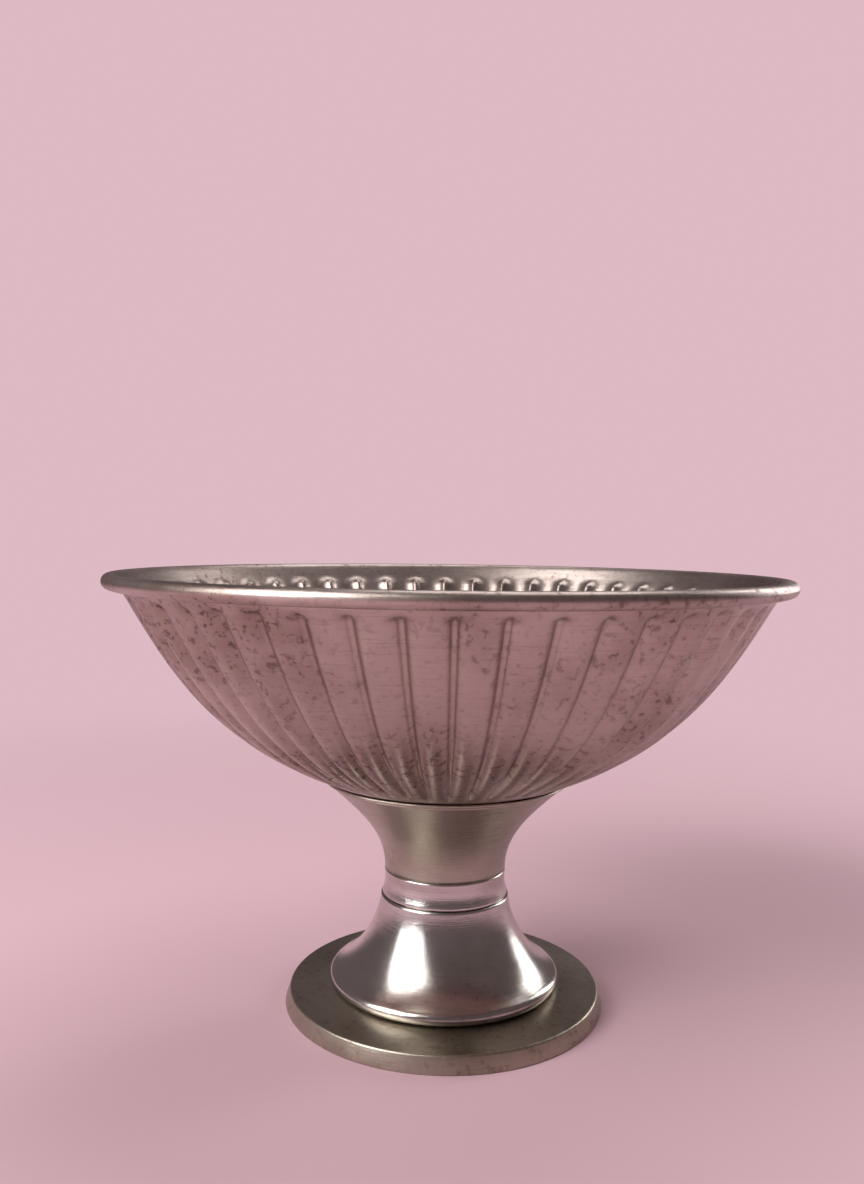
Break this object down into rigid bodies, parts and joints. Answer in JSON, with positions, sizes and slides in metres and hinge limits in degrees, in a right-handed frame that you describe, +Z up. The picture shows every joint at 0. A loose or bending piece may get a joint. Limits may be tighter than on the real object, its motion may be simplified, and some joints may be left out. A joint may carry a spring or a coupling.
{
  "type": "fruit bowl",
  "caption": "Footed fruit bowl in worn nickel silver: fluted dish with a wired rim on a flared stem and a round foot.",
  "frame": {"origin": "on the floor under the middle of the foot", "axes": "+Z up along the stem, -Y towards the picture's viewer"},
  "size_m": [0.2494, 0.25, 0.1622],
  "materials": {
    "tarnished_dish": "worn nickel silver with brown speckled tarnish and fine marks round it",
    "satin_stem": "satin with fine turning marks",
    "polished_stem": "polished, a little dulled",
    "satin_foot": "dulled olive-brown satin, mottled at the edge",
    "inner_steel": "plain, hidden inside"
  },
  "bodies": {
    "root": {"bowl": "tarnished_dish", "rim_wire": "inner_steel", "bowl_boss": "satin_stem", "seat_flange": "satin_stem", "upper_stem": "satin_stem", "stem_collar": "polished_stem", "foot_cone": "polished_stem", "foot_disc": "satin_foot", "tie_rod": "inner_steel", "foot_washer": "inner_steel", "foot_nut": "inner_steel"}
  },
  "joints": []
}
